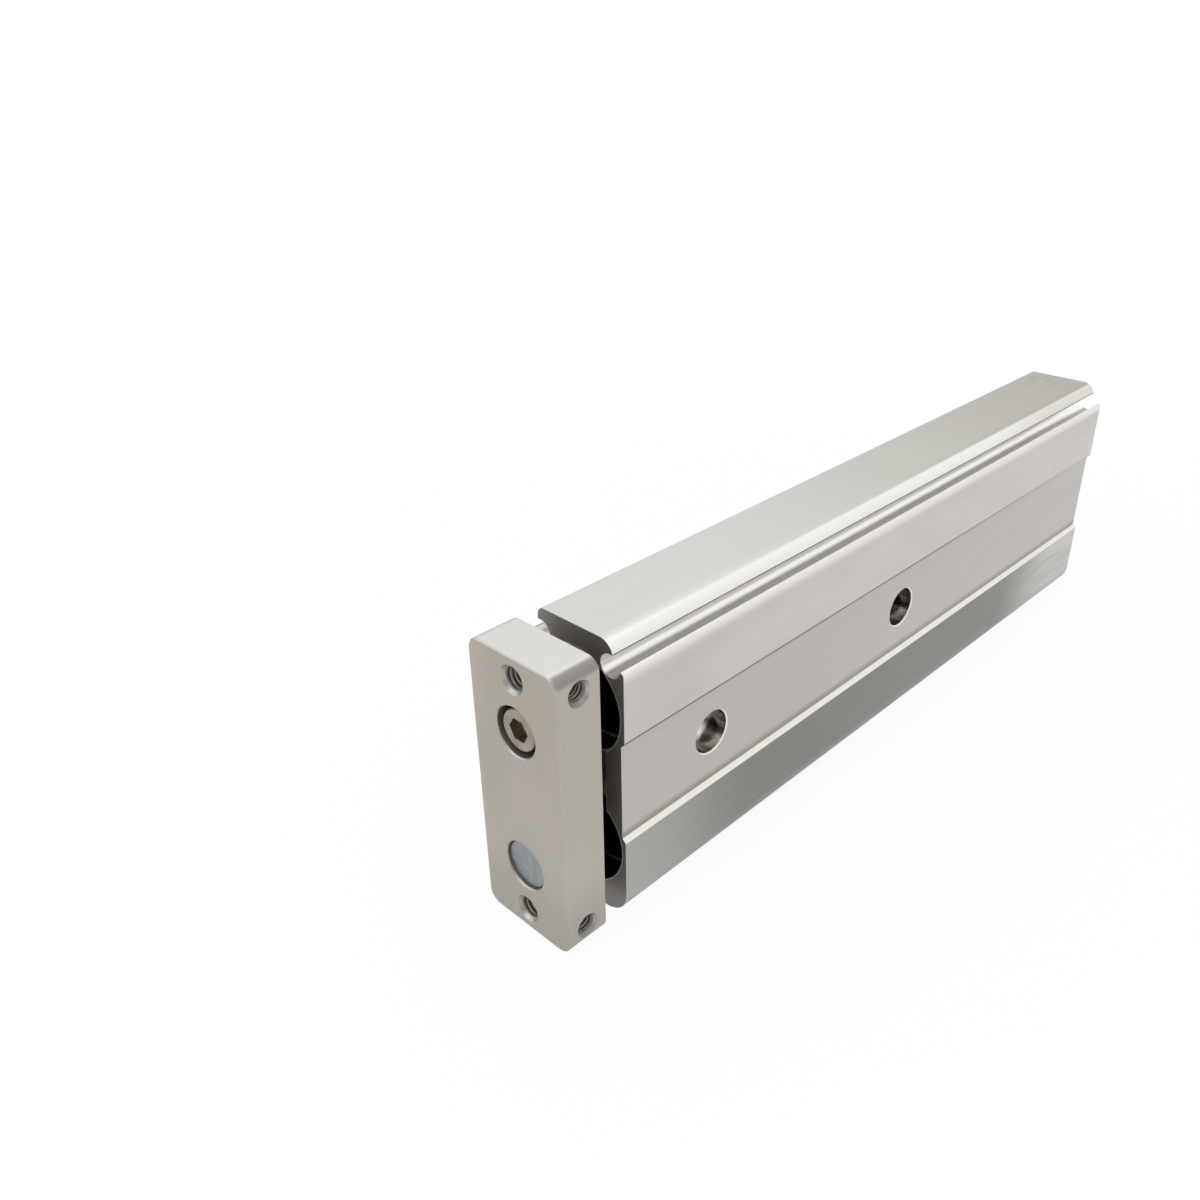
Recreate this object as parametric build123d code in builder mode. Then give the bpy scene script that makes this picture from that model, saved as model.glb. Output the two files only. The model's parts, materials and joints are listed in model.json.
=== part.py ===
from build123d import *
import os
from math import cos, radians

# A compact dual rod cylinder, retracted. Millimetres. It stands on its narrow side with +Z up,
# +X runs from the end plate to the rear, and the origin is the centre of the footprint.

# Bores, rods and the walls around them
bore_d = 25.0
rod_d = 12.0
stroke = 150.0
web = 11.0              # between the two bores
end_wall = 6.0          # from a bore to the nearest narrow side
side_wall = 1.8         # from a bore to the broad sides

# Clearances
slide_clearance = 0.05  # radial, rod in its cover
fit_clearance = 0.03    # radial, parts that are seated in each other
stop_clearance = 0.4    # between a piston bumper and the cover at each end of the stroke
touch_clearance = 0.3   # between the stop pad and the plate when retracted

# Housing section
foot_r = 7.0            # rounding of the two lower corners
crown_inset = 3.0       # crown above the switch slots, inside each broad side
crown_r = 3.8           # rounding of the crown on the -Y side
far_crown_r = 2.0       # rounding of the crown on the +Y side
shoulder_drop = 6.2     # from the top down to the shoulder below each switch slot
shoulder_r = 1.2
slot_r = 2.8            # round switch slot
slot_inset = 3.8        # slot centre from the broad side
slot_drop = 5.9         # slot centre below the top
band_depth = 1.0        # sunk band on each broad side
band_below = 14.2       # lower edge of the band below the middle
band_above = 12.6       # upper edge of the band above the middle
edge_break = 0.3        # small chamfer where a machined edge is broken

# Bore mouths
mouth_step = 0.6        # counterbore at the front of each bore
mouth_depth = 8.0

# Side mounting holes
mount_first = 30.0      # from the housing's front face
mount_pitch = 81.5
mount_hole_r = 3.4
mount_counterbore_r = 5.5
mount_counterbore_depth = 6.8

# Air ports
port_core_r = 4.28
port_depth = 9.5
air_way_r = 1.6
air_way_inset = 3.2     # from the floor of a port

# End plate
plate_thickness = 11.8
plate_width = 27.0
plate_corner_r = 3.3
plate_gap = 5.7         # daylight between plate and housing when retracted
tap_wall = 3.3          # between the cap screw's counterbore and the tapped hole beside it
tap_edge = 5.4          # from a tapped hole's centre to the end of the plate
register_depth = 1.5    # socket in the plate's back that locates the upper rod
lower_rod_sink = 0.9    # end of the lower rod behind the plate's front face

# Tapped holes, drawn at their core radius
m6_core_r = 2.5
m6_r = 3.0
m5_core_r = 2.1
m5_r = 2.5
side_tap_depth = 9.0
tap_mouth_widening = 1.0

# Pocket between the bore mouths, with the stop bolt
pocket_depth = 2.0
pocket_half_width = 8.5
pocket_half_height = 9.0
stop_hex = 10.0         # across flats, bolt head and lock nut
stop_head_height = 4.0
stop_nut_height = 3.0
stop_bolt_length = 14.0
stop_hole_spare = 2.0
pad_r = 3.5
pad_sink = 0.8

# Cap screw
cap_head_r = 5.0
cap_head_height = 6.0
cap_head_sink = 0.9
cap_socket_hex = 5.0
cap_socket_depth = 3.0
cap_thread_length = 16.0
cap_counterbore_r = 6.0
cap_hole_r = 3.3
cap_tap_spare = 3.0

# Set screw
set_screw_sink = 1.5    # behind the plate's side
set_socket_hex = 2.5
set_socket_depth = 2.5

# Rod ends
flat_depth = 1.0        # each wrench flat of the upper rod
flat_length = 8.0
spigot_step = 2.0       # shoulder between rod and piston spigot

# Covers
rod_cover_setback = 16.0
rod_cover_length = 28.0
rod_cover_neck = 5.5    # narrow inner end, where the air enters
head_cover_length = 11.0
head_cover_neck = 4.6
neck_step = 2.0
rear_land = 1.45        # behind the rear retaining ring's groove
o_ring_r = 0.95         # section radius
o_ring_groove_width = 2.3
rod_cover_groove = 14.0  # groove centre from the cover's outer face
head_cover_groove = 3.4
rod_seal_width = 3.2    # radial
rod_seal_length = 5.0
seal_lip_gap = 0.9
seal_lip_depth = 2.0
cover_dimple_r = 3.0
cover_dimple_depth = 2.0

# Retaining rings
ring_thickness = 1.2
ring_groove_step = 0.6
ring_width = 2.1
ring_gap = 7.2
ring_eye_r = 1.9
ring_eye_hole_r = 0.9
ring_eye_angle = 34.0   # of each eye from the middle of the gap
ring_play = 0.05

# Pistons; a groove is its start behind the front face, its width and its depth
piston_length = 15.0
piston_clearance = 0.1
seal_groove = (1.9, 3.0, 2.5)
magnet_groove = (6.1, 4.0, 2.7)
wear_groove = (11.3, 2.6, 1.3)
nut_height = 4.0
nut_recess_play = 0.5
nut_recess_spare = 0.8
bumper_wall = 0.6       # between the nut's recess and the bumper
bumper_inset = 1.3      # bumper inside the bore
bumper_width = 2.6      # radial
bumper_sink = 1.0
bumper_stand = 0.75

# Section sizes that follow
bore_r = bore_d / 2
rod_r = rod_d / 2
rod_pitch = bore_d + web
body_height = rod_pitch + bore_d + 2 * end_wall
body_thickness = bore_d + 2 * side_wall
half_thickness = body_thickness / 2
band_y = half_thickness - band_depth
crown_y = half_thickness - crown_inset
slot_y = half_thickness - slot_inset
mouth_r = bore_r + mouth_step
ring_groove_r = bore_r + ring_groove_step
cover_r = bore_r - fit_clearance
cover_cut_r = bore_r + edge_break
neck_r = bore_r - neck_step
rod_seal_r = rod_r + rod_seal_width
spigot_r = rod_r - spigot_step
bumper_outer_r = bore_r - bumper_inset
bumper_inner_r = bumper_outer_r - bumper_width
nut_recess_r = bumper_inner_r - bumper_wall
nut_recess_depth = nut_height + nut_recess_spare
nut_hex = 2 * (nut_recess_r - nut_recess_play) * cos(radians(30))
set_screw_length = plate_width / 2 - set_screw_sink - rod_r
plate_tap_offset = cap_counterbore_r + tap_wall + m6_core_r + tap_mouth_widening
plate_height = rod_pitch + 2 * (plate_tap_offset + tap_edge)

# Lengths that follow from the stroke
chamber_length = stroke + piston_length + 2 * (bumper_stand + stop_clearance)
body_length = (rod_cover_setback + rod_cover_length + chamber_length + head_cover_length
               + ring_thickness + ring_play + rear_land)
total_length = plate_thickness + plate_gap + body_length

# Places along X
x_plate = -total_length / 2
x_plate_back = x_plate + plate_thickness
x_body = x_plate_back + plate_gap
x_rod_cover = x_body + rod_cover_setback
x_chamber = x_rod_cover + rod_cover_length
x_head_cover = x_chamber + chamber_length
x_head_cover_end = x_head_cover + head_cover_length
x_piston = x_head_cover - stop_clearance - bumper_stand - piston_length
x_piston_rear = x_piston + piston_length
x_nut_seat = x_piston_rear - nut_recess_depth
x_front_port = x_chamber - rod_cover_neck / 2
x_rear_port = x_head_cover + head_cover_neck / 2
x_pocket_floor = x_body + pocket_depth

# Places along Z
z_middle = body_height / 2
z_upper = z_middle + rod_pitch / 2
z_lower = z_middle - rod_pitch / 2
band_low = z_middle - band_below
band_high = z_middle + band_above
z_shoulder = body_height - shoulder_drop
z_slot = body_height - slot_drop
rod_heights = {"upper": z_upper, "lower": z_lower}
tap_heights = (z_lower - plate_tap_offset, z_upper + plate_tap_offset)

os.makedirs("parts", exist_ok=True)


def finish(part, name):
    """Label a finished piece and write it out."""
    part.label = name
    export_step(part, f"parts/{name}.step")


def ring(x_from, x_to, height, outer_r, inner_r=0.0, mode=Mode.ADD):
    """A disc or ring about an axis along X at this height, in the part being built."""
    with BuildSketch(Plane.YZ.offset(x_from)) as section:
        with Locations((0, height)):
            Circle(outer_r)
            if inner_r:
                Circle(inner_r, mode=Mode.SUBTRACT)
    extrude(section.sketch, amount=x_to - x_from, mode=mode)


def hexagon(x_from, x_to, height, across, mode=Mode.ADD):
    """A hexagonal prism about an axis along X at this height, in the part being built."""
    with BuildSketch(Plane.YZ.offset(x_from)) as section:
        with Locations((0, height)):
            RegularPolygon(radius=across / 2, side_count=6, major_radius=False)
    extrude(section.sketch, amount=x_to - x_from, mode=mode)


def radial_plane(x, height):
    """A plane with its first axis along X and its second one away from a rod axis."""
    return Plane(origin=(x, 0, height), x_dir=(1, 0, 0), z_dir=(0, -1, 0))


def rod_axis(height):
    return Axis((0, 0, height), (1, 0, 0))


# Housing: the extruded section, then the machining of its ends and sides
with BuildPart() as housing:
    with BuildSketch(Plane.YZ.offset(x_body)):
        for side, top_r in ((-1, crown_r), (1, far_crown_r)):
            side_y = side * half_thickness
            foot_y = side * (half_thickness - foot_r)
            shoulder_y = side * (half_thickness - shoulder_r)
            top_y = side * (crown_y - top_r)
            with BuildLine():
                Line((0, 0), (foot_y, 0))
                TangentArc((foot_y, 0), (side_y, foot_r), tangent=(side, 0))
                Polyline(
                    (side_y, foot_r),
                    (side_y, band_low),
                    (side * band_y, band_low + band_depth),
                    (side * band_y, band_high - band_depth),
                    (side_y, band_high),
                    (side_y, z_shoulder - shoulder_r),
                )
                TangentArc((side_y, z_shoulder - shoulder_r), (shoulder_y, z_shoulder),
                           tangent=(0, 1))
                Polyline(
                    (shoulder_y, z_shoulder),
                    (side * crown_y, z_shoulder),
                    (side * crown_y, body_height - top_r),
                )
                TangentArc((side * crown_y, body_height - top_r), (top_y, body_height),
                           tangent=(0, 1))
                Polyline((top_y, body_height), (0, body_height), (0, 0))
            make_face()
        with Locations((slot_y, z_slot), (-slot_y, z_slot)):
            Circle(slot_r, mode=Mode.SUBTRACT)
        with Locations((0, z_upper), (0, z_lower)):
            Circle(bore_r, mode=Mode.SUBTRACT)
    extrude(amount=body_length)

    groove_width = ring_thickness + ring_play
    for height in rod_heights.values():
        ring(x_body, x_body + mouth_depth, height, mouth_r, mode=Mode.SUBTRACT)
        for x_groove in (x_rod_cover - groove_width, x_head_cover_end):
            ring(x_groove, x_groove + groove_width, height, ring_groove_r, mode=Mode.SUBTRACT)

    with BuildSketch(Plane.YZ.offset(x_body)):
        with Locations((0, z_middle)):
            Rectangle(2 * pocket_half_width, 2 * pocket_half_height)
    extrude(amount=pocket_depth, mode=Mode.SUBTRACT)
    ring(x_pocket_floor, x_pocket_floor + stop_bolt_length + stop_hole_spare, z_middle,
         m6_r + fit_clearance, mode=Mode.SUBTRACT)

    for side in (-1, 1):
        for x_mount in (x_body + mount_first, x_body + mount_first + mount_pitch):
            with Locations(Plane(origin=(x_mount, side * band_y, z_middle), z_dir=(0, side, 0))):
                CounterBoreHole(mount_hole_r, mount_counterbore_r, mount_counterbore_depth,
                                depth=band_y)

    air_way_y = band_y - port_depth + air_way_inset
    for x_port in (x_front_port, x_rear_port):
        with Locations(Plane(origin=(x_port, band_y, z_middle), z_dir=(0, 1, 0))):
            Hole(port_core_r, depth=port_depth)
        with BuildSketch(Plane.XY.offset(z_middle)):
            with Locations((x_port, air_way_y)):
                Circle(air_way_r)
        extrude(amount=rod_pitch / 4, both=True, mode=Mode.SUBTRACT)

    band_faces = housing.faces().filter_by(Axis.Y).filter_by(
        lambda face: abs(abs(face.center().Y) - band_y) < edge_break)
    band_rims = band_faces.edges().filter_by(GeomType.CIRCLE)
    chamfer(band_rims.group_by(SortBy.RADIUS)[-1], edge_break)
finish(housing.part, "housing")

# Rod covers, with the seal and the O-ring of each
for name, height in rod_heights.items():
    x_groove = x_rod_cover + rod_cover_groove
    x_seal_end = x_rod_cover + rod_seal_length
    with BuildPart() as rod_cover:
        ring(x_rod_cover, x_chamber, height, cover_r, rod_r + slide_clearance)
        ring(x_chamber - rod_cover_neck, x_chamber, height, cover_cut_r, neck_r,
             mode=Mode.SUBTRACT)
        ring(x_groove - o_ring_groove_width / 2, x_groove + o_ring_groove_width / 2, height,
             cover_cut_r, bore_r - 2 * o_ring_r, mode=Mode.SUBTRACT)
        ring(x_rod_cover, x_seal_end, height, rod_seal_r, mode=Mode.SUBTRACT)
    finish(rod_cover.part, f"{name}_rod_cover")

    with BuildPart() as rod_seal:
        ring(x_rod_cover, x_seal_end, height, rod_seal_r - fit_clearance, rod_r + slide_clearance)
        seal_middle_r = (rod_seal_r + rod_r) / 2
        ring(x_seal_end - seal_lip_depth, x_seal_end, height, seal_middle_r + seal_lip_gap / 2,
             seal_middle_r - seal_lip_gap / 2, mode=Mode.SUBTRACT)
    finish(rod_seal.part, f"{name}_rod_seal")

    with BuildPart() as o_ring:
        with BuildSketch(radial_plane(x_groove, height)):
            with Locations((0, bore_r - o_ring_r)):
                Circle(o_ring_r - fit_clearance)
        revolve(axis=rod_axis(height))
    finish(o_ring.part, f"{name}_rod_cover_o_ring")

# Head covers, with the O-ring of each
for name, height in rod_heights.items():
    x_groove = x_head_cover_end - head_cover_groove
    with BuildPart() as head_cover:
        ring(x_head_cover, x_head_cover_end, height, cover_r)
        ring(x_head_cover, x_head_cover + head_cover_neck, height, cover_cut_r, neck_r,
             mode=Mode.SUBTRACT)
        ring(x_groove - o_ring_groove_width / 2, x_groove + o_ring_groove_width / 2, height,
             cover_cut_r, bore_r - 2 * o_ring_r, mode=Mode.SUBTRACT)
        ring(x_head_cover_end - cover_dimple_depth, x_head_cover_end, height, cover_dimple_r,
             mode=Mode.SUBTRACT)
    finish(head_cover.part, f"{name}_head_cover")

    with BuildPart() as o_ring:
        with BuildSketch(radial_plane(x_groove, height)):
            with Locations((0, bore_r - o_ring_r)):
                Circle(o_ring_r - fit_clearance)
        revolve(axis=rod_axis(height))
    finish(o_ring.part, f"{name}_head_cover_o_ring")

# Retaining rings: an open ring with two eyes, in front of each rod cover and behind each head cover
ring_places = {"front": x_rod_cover - ring_thickness - ring_play / 2,
               "rear": x_head_cover_end + ring_play / 2}
for end, x_ring in ring_places.items():
    for name, height in rod_heights.items():
        with BuildPart() as retaining_ring:
            outer_r = ring_groove_r - ring_play
            eye_centre_r = outer_r - ring_width - ring_eye_r / 2
            with BuildSketch(Plane.YZ.offset(x_ring)):
                with Locations((0, height)):
                    Circle(outer_r)
                    Circle(outer_r - ring_width, mode=Mode.SUBTRACT)
                    with PolarLocations(outer_r - ring_width / 2, 1, start_angle=-90):
                        Rectangle(2 * ring_width, ring_gap, mode=Mode.SUBTRACT)
                    with PolarLocations(eye_centre_r, 2, start_angle=-90 - ring_eye_angle,
                                        angular_range=2 * ring_eye_angle, endpoint=True):
                        Circle(ring_eye_r)
                        Circle(ring_eye_hole_r, mode=Mode.SUBTRACT)
            extrude(amount=ring_thickness)
        finish(retaining_ring.part, f"{name}_{end}_retaining_ring")

# Stop bolt between the rods, with its lock nut and its pad
x_nut = x_pocket_floor - stop_nut_height
x_head = x_nut - stop_head_height
x_pad = x_plate_back + touch_clearance
x_pad_seat = x_head + pad_sink
with BuildPart() as stop_bolt:
    hexagon(x_head, x_nut, z_middle, stop_hex)
    chamfer(stop_bolt.faces().sort_by(Axis.X)[0].edges(), edge_break)
    ring(x_nut, x_pocket_floor + stop_bolt_length, z_middle, m6_r)
    ring(x_head, x_pad_seat, z_middle, pad_r + fit_clearance, mode=Mode.SUBTRACT)
finish(stop_bolt.part, "stop_bolt")

with BuildPart() as stop_nut:
    hexagon(x_nut, x_pocket_floor, z_middle, stop_hex)
    ring(x_nut, x_pocket_floor, z_middle, m6_r + fit_clearance, mode=Mode.SUBTRACT)
finish(stop_nut.part, "stop_lock_nut")

with BuildPart() as stop_pad:
    ring(x_pad, x_pad_seat, z_middle, pad_r)
    chamfer(stop_pad.faces().sort_by(Axis.X)[0].edges(), edge_break)
finish(stop_pad.part, "stop_pad")

# End plate
x_counterbore = x_plate + cap_head_sink + cap_head_height
x_side_tap = x_plate + plate_thickness / 2
with BuildPart() as end_plate:
    with BuildSketch(Plane.YZ.offset(x_plate)):
        with Locations((0, z_middle)):
            RectangleRounded(plate_width, plate_height, plate_corner_r)
    extrude(amount=plate_thickness)
    chamfer(end_plate.faces().filter_by(Axis.X).edges(), edge_break)
    ring(x_plate, x_counterbore, z_upper, cap_counterbore_r, mode=Mode.SUBTRACT)
    ring(x_plate, x_plate_back, z_upper, cap_hole_r, mode=Mode.SUBTRACT)
    ring(x_plate_back - register_depth, x_plate_back, z_upper, rod_r + fit_clearance,
         mode=Mode.SUBTRACT)
    ring(x_plate, x_plate_back, z_lower, rod_r + fit_clearance, mode=Mode.SUBTRACT)
    for height in tap_heights:
        ring(x_plate, x_plate_back, height, m6_core_r, mode=Mode.SUBTRACT)
    front_rims = end_plate.faces().sort_by(Axis.X)[0].edges().filter_by(GeomType.CIRCLE)
    rims_by_size = front_rims.group_by(SortBy.RADIUS)
    chamfer(rims_by_size[0], tap_mouth_widening)
    chamfer(rims_by_size[-1] + rims_by_size[-2], edge_break)
    for side in (-1, 1):
        for height in tap_heights:
            mouth = Plane(origin=(x_side_tap, side * plate_width / 2, height), z_dir=(0, side, 0))
            with Locations(mouth):
                CounterSinkHole(m5_core_r, m5_core_r + tap_mouth_widening, depth=side_tap_depth,
                                counter_sink_angle=90)
    with Locations(Plane(origin=(x_side_tap, plate_width / 2, z_lower), z_dir=(0, 1, 0))):
        Hole(m5_r + fit_clearance, depth=plate_width / 2 - rod_r)
finish(end_plate.part, "end_plate")

# Plate screws
with BuildPart() as cap_screw:
    x_cap_head = x_plate + cap_head_sink
    ring(x_cap_head, x_counterbore, z_upper, cap_head_r)
    chamfer(cap_screw.faces().sort_by(Axis.X)[0].edges(), edge_break)
    hexagon(x_cap_head, x_cap_head + cap_socket_depth, z_upper, cap_socket_hex,
            mode=Mode.SUBTRACT)
    ring(x_counterbore, x_counterbore + cap_thread_length, z_upper, m6_r)
finish(cap_screw.part, "plate_cap_screw")

with BuildPart() as set_screw:
    set_plane = Plane(origin=(x_side_tap, rod_r + fit_clearance, z_lower), z_dir=(0, 1, 0))
    with BuildSketch(set_plane):
        Circle(m5_r)
    extrude(amount=set_screw_length)
    with BuildSketch(set_plane.offset(set_screw_length)):
        RegularPolygon(radius=set_socket_hex / 2, side_count=6, major_radius=False)
    extrude(amount=-set_socket_depth, mode=Mode.SUBTRACT)
finish(set_screw.part, "rod_set_screw")

# Rods: each ends in a spigot that carries its piston and nut
rod_starts = {"upper": x_plate_back - register_depth, "lower": x_plate + lower_rod_sink}
for name, height in rod_heights.items():
    with BuildPart() as rod:
        ring(rod_starts[name], x_piston, height, rod_r)
        chamfer(rod.faces().sort_by(Axis.X)[0].edges(), edge_break)
        ring(x_piston, x_piston_rear, height, spigot_r)
        if name == "upper":
            ring(rod_starts[name], x_counterbore + cap_thread_length + cap_tap_spare, height,
                 m6_r + fit_clearance, mode=Mode.SUBTRACT)
            with BuildSketch(Plane.YZ.offset(x_plate_back)):
                with Locations((0, height + rod_r), (0, height - rod_r)):
                    Rectangle(rod_d, 2 * flat_depth)
            extrude(amount=flat_length, mode=Mode.SUBTRACT)
    finish(rod.part, f"{name}_rod")

# Pistons with what they carry
for name, height in rod_heights.items():
    with BuildPart() as piston:
        ring(x_piston, x_piston_rear, height, bore_r - piston_clearance, spigot_r + fit_clearance)
        for start, width, depth in (seal_groove, magnet_groove, wear_groove):
            ring(x_piston + start, x_piston + start + width, height, bore_r, bore_r - depth,
                 mode=Mode.SUBTRACT)
        ring(x_nut_seat, x_piston_rear, height, nut_recess_r, mode=Mode.SUBTRACT)
        for x_sink in (x_piston, x_piston_rear - bumper_sink):
            ring(x_sink, x_sink + bumper_sink, height, bumper_outer_r, bumper_inner_r,
                 mode=Mode.SUBTRACT)
    finish(piston.part, f"{name}_piston")

    carried = {
        "piston_seal": (seal_groove, bore_r - fit_clearance),
        "piston_magnet": (magnet_groove, bore_r - 2 * piston_clearance),
        "wear_ring": (wear_groove, bore_r - fit_clearance),
    }
    for kind, (groove, outer_r) in carried.items():
        start, width, depth = groove
        with BuildPart() as band:
            ring(x_piston + start, x_piston + start + width, height, outer_r, bore_r - depth)
            if kind == "piston_seal":
                rims = band.edges().filter_by(GeomType.CIRCLE)
                chamfer(rims.group_by(SortBy.RADIUS)[-1], edge_break)
        finish(band.part, f"{name}_{kind}")

    bumper_spans = {"front": (x_piston - bumper_stand, x_piston + bumper_sink),
                    "rear": (x_piston_rear - bumper_sink, x_piston_rear + bumper_stand)}
    for end, (x_from, x_to) in bumper_spans.items():
        with BuildPart() as bumper:
            ring(x_from, x_to, height, bumper_outer_r - fit_clearance,
                 bumper_inner_r + fit_clearance)
        finish(bumper.part, f"{name}_{end}_bumper")

    with BuildPart() as piston_nut:
        hexagon(x_nut_seat, x_nut_seat + nut_height, height, nut_hex)
        ring(x_nut_seat, x_nut_seat + nut_height, height, spigot_r + fit_clearance,
             mode=Mode.SUBTRACT)
    finish(piston_nut.part, f"{name}_piston_nut")
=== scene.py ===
"""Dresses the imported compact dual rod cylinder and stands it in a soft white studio."""
import json
import logging
import math
from dataclasses import dataclass, field
from enum import Enum
from functools import reduce

import bmesh
import bpy
from mathutils import Matrix, Vector


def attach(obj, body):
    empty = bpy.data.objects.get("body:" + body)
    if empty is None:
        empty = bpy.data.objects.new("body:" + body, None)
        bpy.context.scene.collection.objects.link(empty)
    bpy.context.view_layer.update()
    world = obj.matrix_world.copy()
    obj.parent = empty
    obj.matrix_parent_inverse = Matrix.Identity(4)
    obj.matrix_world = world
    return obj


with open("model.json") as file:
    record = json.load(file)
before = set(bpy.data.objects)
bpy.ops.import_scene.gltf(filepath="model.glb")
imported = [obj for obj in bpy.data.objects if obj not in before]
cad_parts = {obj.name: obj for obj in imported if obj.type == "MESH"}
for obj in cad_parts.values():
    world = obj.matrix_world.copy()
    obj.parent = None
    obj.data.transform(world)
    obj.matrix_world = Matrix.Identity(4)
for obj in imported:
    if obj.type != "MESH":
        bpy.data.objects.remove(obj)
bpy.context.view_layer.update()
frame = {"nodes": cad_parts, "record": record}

Rgb = tuple[int, int, int]
Pair = tuple[float, float]
Triple = tuple[float, float, float]
Socket = bpy.types.NodeSocket

MILLIMETRE = 0.001
BEVEL_SAMPLES = 6
# Patches and edge reach of the lightened edges, partly wear and partly painted highlight.
WEAR_AND_HIGHLIGHT_CELL: Triple = (1.5, 1.5, 1.5)
EDGE_WEAR_AND_HIGHLIGHT_REACH = 0.12
# How squarely a surface faces an axis where a round wall gives way to a flat, in direction and in tone.
FLAT_DIRECTION: Pair = (0.5, 0.6)
FLAT_TONE: Pair = (0.8, 0.95)
log = logging.getLogger("cylinder")


@dataclass(frozen=True)
class Sizes:
    """Sizes and places that several pieces share, in millimetres of the part."""

    plate_front: float = -121.25
    plate_thickness: float = 11.8
    tap_heights: Pair = (5.7, 67.3)
    middle: float = 36.5
    half_pitch: float = 18.0


SIZES = Sizes()


class Body(Enum):
    """The two bodies that pieces ride on."""

    HOUSING = "housing_group"
    RODS = "rod_group"


class Turn(Enum):
    """How the lines of a surface run, as the size of a noise cell along each axis in millimetres."""

    ALONG = (40.0, 0.5, 0.5)
    AROUND = (0.12, 30.0, 30.0)
    CAST = (0.7, 0.7, 0.7)


@dataclass(frozen=True)
class Pattern:
    """Noise with cells of a size in millimetres, as a mask between two of its levels."""

    cell: Triple
    detail: float = 3.0
    seed: float = 0.0
    low: float = 0.3
    high: float = 0.7
    least: float = 0.0
    most: float = 1.0


def linear(colour: Rgb) -> tuple[float, float, float, float]:
    """Turns a colour as a screen shows it into the light it stands for.

    Args:
        colour: Red, green and blue from 0 to 255.

    Returns:
        The linear colour with full alpha.
    """
    shares = (part / 255 for part in colour)
    light = [s / 12.92 if s <= 0.04045 else ((s + 0.055) / 1.055) ** 2.4 for s in shares]
    return light[0], light[1], light[2], 1.0


class Bench:
    """Builds the nodes of one material, with places in millimetres of the part."""

    def __init__(self, name: str) -> None:
        """Starts a material with its shader and its coordinates.

        Args:
            name: The material's name.
        """
        self.material = bpy.data.materials.new(name)
        self.material.use_nodes = True
        self.tree = self.material.node_tree
        self.shader = self.tree.nodes["Principled BSDF"]
        self.coordinates = self.tree.nodes.new("ShaderNodeTexCoord")
        parts = self.tree.nodes.new("ShaderNodeSeparateXYZ")
        self.tree.links.new(self.coordinates.outputs["Object"], parts.inputs[0])
        self.x, self.y, self.z = (self.sum("MULTIPLY", parts.outputs[i], 1 / MILLIMETRE) for i in range(3))

    def feed(self, target: Socket, value: Socket | float) -> None:
        """Gives a socket a link or a plain number.

        Args:
            target: The socket that takes the value.
            value: Another socket or a number.
        """
        if isinstance(value, (int, float)):
            target.default_value = value
        else:
            self.tree.links.new(value, target)

    def sum(self, operation: str, first: Socket | float, second: Socket | float = 0.0,
            clamp: bool = False) -> Socket:
        """Adds one step of arithmetic.

        Args:
            operation: Blender's name of the step.
            first: The first value.
            second: The second value, where the step has one.
            clamp: Whether the result stays from 0 to 1.

        Returns:
            The result.
        """
        node = self.tree.nodes.new("ShaderNodeMath")
        node.operation = operation
        node.use_clamp = clamp
        self.feed(node.inputs[0], first)
        self.feed(node.inputs[1], second)
        return node.outputs[0]

    def span(self, value: Socket, low: float, high: float, to_low: float = 0.0,
             to_high: float = 1.0) -> Socket:
        """Maps a range smoothly onto another.

        Args:
            value: The value that is mapped.
            low: Where the range starts.
            high: Where it ends.
            to_low: The result up to the start.
            to_high: The result from the end on.

        Returns:
            The mapped value.
        """
        node = self.tree.nodes.new("ShaderNodeMapRange")
        node.interpolation_type = "SMOOTHSTEP"
        self.feed(node.inputs["Value"], value)
        for name, number in (("From Min", low), ("From Max", high), ("To Min", to_low), ("To Max", to_high)):
            node.inputs[name].default_value = number
        return node.outputs["Result"]

    def band(self, value: Socket, low: float, high: float, soft: float) -> Socket:
        """Is 1 between two places and 0 beyond them.

        Args:
            value: The place that is asked about.
            low: Where the band starts.
            high: Where it ends.
            soft: Half the width of each soft border.

        Returns:
            The band's mask.
        """
        rise = self.span(value, low - soft, low + soft)
        fall = self.span(value, high - soft, high + soft, 1.0, 0.0)
        return self.sum("MULTIPLY", rise, fall)

    def noise(self, cell: Triple, detail: float, seed: float) -> Socket:
        """Adds noise with cells of this size.

        Args:
            cell: The size of a cell along each axis, in millimetres.
            detail: How many finer layers it has.
            seed: Moves the noise, so that two of them differ.

        Returns:
            The noise, about 0.5 on average.
        """
        stretch = self.tree.nodes.new("ShaderNodeMapping")
        stretch.inputs["Location"].default_value = (seed, seed / 3, seed / 7)
        stretch.inputs["Scale"].default_value = [1 / (size * MILLIMETRE) for size in cell]
        self.tree.links.new(self.coordinates.outputs["Object"], stretch.inputs["Vector"])
        node = self.tree.nodes.new("ShaderNodeTexNoise")
        node.inputs["Scale"].default_value = 1.0
        node.inputs["Detail"].default_value = detail
        self.tree.links.new(stretch.outputs["Vector"], node.inputs["Vector"])
        return node.outputs["Fac"]

    def pattern(self, named: Pattern) -> Socket:
        """Lays out one of the named patterns."""
        grey = self.noise(named.cell, named.detail, named.seed)
        return self.span(grey, named.low, named.high, named.least, named.most)

    def away(self, value: Socket, place: float) -> Socket:
        """Measures how far a value lies from a place, either way."""
        return self.sum("ABSOLUTE", self.less(value, place))

    def reach(self, first: Socket, second: Socket) -> Socket:
        """Joins two distances at right angles into one."""
        return self.sum("SQRT", self.sum("ADD", self.sum("MULTIPLY", first, first),
                                         self.sum("MULTIPLY", second, second)))

    def within(self, distance: Socket, radius: float, soft: float = 0.03) -> Socket:
        """Is 1 inside a radius and 0 beyond it."""
        return self.span(distance, radius - soft, radius + soft, 1.0, 0.0)

    def both(self, first: Socket, second: Socket) -> Socket:
        """Is 1 where two masks both are."""
        return self.sum("MULTIPLY", first, second)

    def either(self, first: Socket, second: Socket) -> Socket:
        """Is 1 where at least one of two masks is."""
        return self.sum("MAXIMUM", first, second)

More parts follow.
